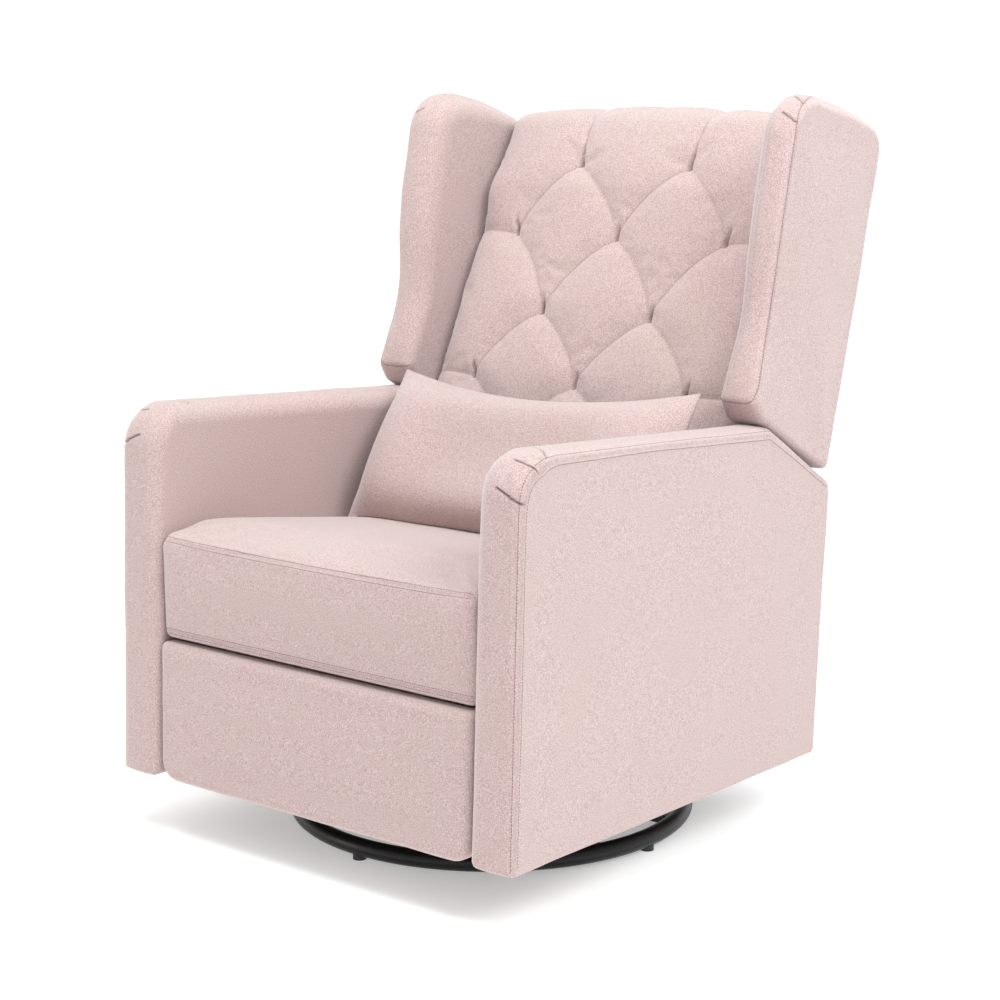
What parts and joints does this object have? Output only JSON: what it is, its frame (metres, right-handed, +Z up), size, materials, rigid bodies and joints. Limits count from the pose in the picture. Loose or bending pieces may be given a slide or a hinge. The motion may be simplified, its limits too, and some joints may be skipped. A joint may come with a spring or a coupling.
{
  "type": "nursery glider recliner chair",
  "caption": "Upholstered wing-back nursery chair with slim arms and a lumbar pillow; it swivels and glides on a round steel base, its back reclines and a leg rest folds out.",
  "frame": {"origin": "on the floor, under the middle of the chair's bounding box", "axes": "the chair faces -Y, +X is the sitter's left, +Z is up"},
  "size_m": [0.75, 0.8719, 1.0695],
  "materials": {
    "upholstery": "matte",
    "cushion_cover": "matte",
    "frame_wood": "satin",
    "black_steel": "satin",
    "zinc_steel": "satin",
    "ball_steel": "polished",
    "glide_plastic": "matte",
    "bush_plastic": "satin",
    "webbing": "matte"
  },
  "bodies": {
    "base": {"base_ring": "black_steel", "cross_rails": "black_steel", "base_plate": "black_steel", "base_bolts": "zinc_steel", "foot_glides": "glide_plastic", "lower_race": "zinc_steel", "king_pin": "zinc_steel"},
    "swivel": {"upper_race": "zinc_steel", "bearing_balls": "ball_steel", "swivel_plate": "black_steel", "stand_left": "black_steel", "stand_right": "black_steel", "stand_pins": "zinc_steel"},
    "front_links": {"front_links": "black_steel", "front_link_bushes": "bush_plastic"},
    "rear_links": {"rear_links": "black_steel", "rear_link_bushes": "bush_plastic"},
    "seat": {"carriage_rail_left": "black_steel", "carriage_rail_right": "black_steel", "carriage_pins": "zinc_steel", "cross_tubes": "black_steel", "seat_rail_left": "frame_wood", "seat_rail_right": "frame_wood", "seat_rail_front": "frame_wood", "seat_rail_rear": "frame_wood", "seat_webbing": "webbing", "mechanism_plates": "black_steel", "mechanism_pins": "zinc_steel", "arm_frame_left": "frame_wood", "arm_frame_right": "frame_wood", "arm_pad_left": "upholstery", "arm_pad_right": "upholstery", "seat_cushion": "cushion_cover", "rear_panel": "upholstery", "hinge_plates": "black_steel"},
    "back": {"back_brackets": "black_steel", "hinge_pins": "zinc_steel", "back_stile_left": "frame_wood", "back_stile_right": "frame_wood", "back_rail_bottom": "frame_wood", "back_rail_middle": "frame_wood", "back_rail_top": "frame_wood", "back_panel": "upholstery", "wing_frame_left": "frame_wood", "wing_frame_right": "frame_wood", "wing_pad_left": "upholstery", "wing_pad_right": "upholstery", "back_cushion": "cushion_cover"},
    "leg_lower": {"lower_links": "black_steel", "lower_link_pins": "zinc_steel", "torsion_tube": "black_steel"},
    "leg_upper": {"upper_links": "black_steel", "upper_link_pins": "zinc_steel"},
    "leg_frame_control": {"frame_control_links": "black_steel"},
    "leg_panel_control": {"panel_control_links": "black_steel"},
    "footrest": {"footrest_board": "frame_wood", "footrest_pad": "upholstery", "footrest_brackets": "black_steel", "footrest_pins": "zinc_steel"},
    "pillow": {"lumbar_pillow": "cushion_cover"}
  },
  "joints": [
    {"name": "swivel", "type": "hinge", "parent": "base", "child": "swivel", "pos_m": [0, -0.027, 0.038], "axis": [0, 0, 1], "continuous": true},
    {"name": "glide", "type": "hinge", "parent": "swivel", "child": "front_links", "pos_m": [0, -0.127, 0.205], "axis": [1, 0, 0], "range_deg": [-18, 18]},
    {"name": "rear_swing", "type": "hinge", "parent": "swivel", "child": "rear_links", "pos_m": [0, 0.073, 0.205], "axis": [1, 0, 0], "range_deg": [-18.2, 18.2]},
    {"name": "seat_level", "type": "hinge", "parent": "front_links", "child": "seat", "pos_m": [0, -0.127, 0.105], "axis": [1, 0, 0], "range_deg": [-18.2, 18.2]},
    {"name": "back_recline", "type": "hinge", "parent": "seat", "child": "back", "pos_m": [0, 0.19, 0.33], "axis": [-1, 0, 0], "range_deg": [0, 28]},
    {"name": "footrest_open", "type": "hinge", "parent": "seat", "child": "leg_lower", "pos_m": [0, -0.275, 0.26], "axis": [-1, 0, 0], "range_deg": [0, 90]},
    {"name": "upper_fold", "type": "hinge", "parent": "leg_lower", "child": "leg_upper", "pos_m": [0, -0.275, 0.1], "axis": [-1, 0, 0], "range_deg": [-125.3, 0.2]},
    {"name": "footrest_tilt", "type": "hinge", "parent": "leg_upper", "child": "footrest", "pos_m": [0, -0.35951, 0.25893], "axis": [-1, 0, 0], "range_deg": [-0.2, 120.6]},
    {"name": "frame_control", "type": "hinge", "parent": "seat", "child": "leg_frame_control", "pos_m": [0, -0.3083, 0.2295], "axis": [-1, 0, 0], "range_deg": [-0.2, 97.9]},
    {"name": "panel_control", "type": "hinge", "parent": "leg_lower", "child": "leg_panel_control", "pos_m": [0, -0.29994, 0.09826], "axis": [-1, 0, 0], "range_deg": [-124.7, 0.2]},
    {"name": "pillow_lift", "type": "slide", "parent": "seat", "child": "pillow", "axis": [0, -0.6402, 0.7682], "range_m": [0, 0.6]}
  ],
  "couplings": [
    {"joint": "rear_swing", "follows": "glide", "ratio": 1},
    {"joint": "seat_level", "follows": "glide", "ratio": -1},
    {"joint": "upper_fold", "follows": "footrest_open", "ratio": -1.3895},
    {"joint": "footrest_tilt", "follows": "footrest_open", "ratio": 1.3368},
    {"joint": "frame_control", "follows": "footrest_open", "ratio": 1.0853},
    {"joint": "panel_control", "follows": "footrest_open", "ratio": -1.3821}
  ]
}
